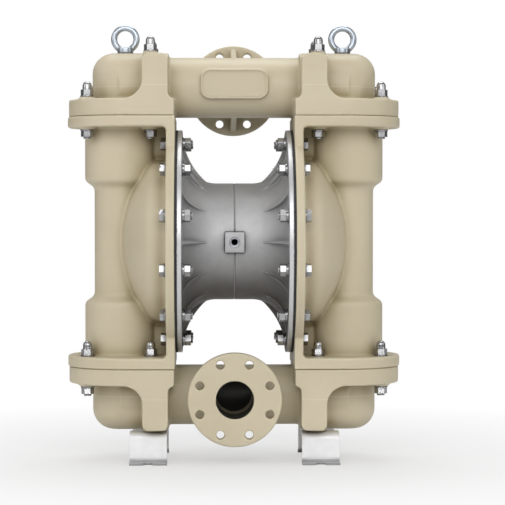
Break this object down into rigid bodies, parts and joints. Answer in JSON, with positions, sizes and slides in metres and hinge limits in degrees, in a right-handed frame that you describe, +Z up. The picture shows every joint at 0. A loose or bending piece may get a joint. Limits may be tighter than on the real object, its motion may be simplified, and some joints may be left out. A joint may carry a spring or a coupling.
{
  "type": "air operated diaphragm pump",
  "caption": "Air operated double diaphragm pump with flanged ports, two valve columns, a cast waist and bent feet.",
  "frame": {"origin": "centre of the base, on the floor between the four feet", "axes": "+X along the diaphragm shaft, -Y out of the inlet flange, +Z up"},
  "size_m": [0.7198, 0.486, 0.942],
  "materials": {
    "moulded_plastic": "satin beige moulded plastic",
    "cast_aluminium": "as cast, fine grain",
    "diaphragm_rubber": "black moulded rubber",
    "gasket_rubber": "black rubber",
    "white_plastic": "white plastic",
    "ball_rubber": "pale moulded rubber",
    "stainless": "bright stainless steel",
    "zinc_plated": "bluish zinc plate",
    "sheet_steel": "matte stainless sheet"
  },
  "bodies": {
    "pump_body": {"air_inlet_block": "cast_aluminium", "cartridge_end_rings": "cast_aluminium", "centre_gasket": "gasket_rubber", "centre_tie_bolts": "stainless", "centre_tie_nuts": "stainless", "discharge_acorn_nuts": "stainless", "discharge_hex_nuts": "stainless", "discharge_manifold": "moulded_plastic", "discharge_studs": "stainless", "discharge_washers": "stainless", "exchanger_cartridge": "white_plastic", "exhaust_block": "cast_aluminium", "exhaust_silencer": "white_plastic", "inlet_acorn_nuts": "stainless", "inlet_hex_nuts": "stainless", "inlet_manifold": "moulded_plastic", "inlet_studs": "stainless", "inlet_washers": "stainless", "left_air_chamber": "cast_aluminium", "left_chamber_bolts": "stainless", "left_chamber_nuts": "stainless", "left_chamber_washers": "stainless", "left_diaphragm": "diaphragm_rubber", "left_discharge_cage": "white_plastic", "left_discharge_seat": "white_plastic", "left_eye_bolt": "zinc_plated", "left_fluid_chamber": "moulded_plastic", "left_front_foot": "sheet_steel", "left_inlet_cage": "white_plastic", "left_inlet_seat": "white_plastic", "left_lock_washers": "stainless", "left_rear_foot": "sheet_steel", "right_air_chamber": "cast_aluminium", "right_chamber_bolts": "stainless", "right_chamber_nuts": "stainless", "right_chamber_washers": "stainless", "right_diaphragm": "diaphragm_rubber", "right_discharge_cage": "white_plastic", "right_discharge_seat": "white_plastic", "right_eye_bolt": "zinc_plated", "right_fluid_chamber": "moulded_plastic", "right_front_foot": "sheet_steel", "right_inlet_cage": "white_plastic", "right_inlet_seat": "white_plastic", "right_lock_washers": "stainless", "right_rear_foot": "sheet_steel", "seat_o_rings": "gasket_rubber", "shaft_bushes": "white_plastic", "shaft_seals": "gasket_rubber"},
    "diaphragm_rod": {"diaphragm_shaft": "stainless", "left_outer_plate": "white_plastic", "left_inner_plate": "cast_aluminium", "right_outer_plate": "white_plastic", "right_inner_plate": "cast_aluminium"},
    "spool": {"exchanger_spool": "gasket_rubber"},
    "left_inlet_valve": {"left_inlet_ball": "ball_rubber"},
    "left_discharge_valve": {"left_discharge_ball": "ball_rubber"},
    "right_inlet_valve": {"right_inlet_ball": "ball_rubber"},
    "right_discharge_valve": {"right_discharge_ball": "ball_rubber"}
  },
  "joints": [
    {"name": "shaft_stroke", "type": "slide", "parent": "pump_body", "child": "diaphragm_rod", "axis": [1, 0, 0], "range_m": [-0.02, 0.02], "deforming": ["left_diaphragm", "right_diaphragm"]},
    {"name": "exchanger_shift", "type": "slide", "parent": "pump_body", "child": "spool", "axis": [1, 0, 0], "range_m": [-0.007, 0.007]},
    {"name": "left_inlet_ball_lift", "type": "slide", "parent": "pump_body", "child": "left_inlet_valve", "axis": [0, 0, 1], "range_m": [0, 0.022]},
    {"name": "left_discharge_ball_lift", "type": "slide", "parent": "pump_body", "child": "left_discharge_valve", "axis": [0, 0, 1], "range_m": [0, 0.022]},
    {"name": "right_inlet_ball_lift", "type": "slide", "parent": "pump_body", "child": "right_inlet_valve", "axis": [0, 0, 1], "range_m": [0, 0.022]},
    {"name": "right_discharge_ball_lift", "type": "slide", "parent": "pump_body", "child": "right_discharge_valve", "axis": [0, 0, 1], "range_m": [0, 0.022]}
  ]
}
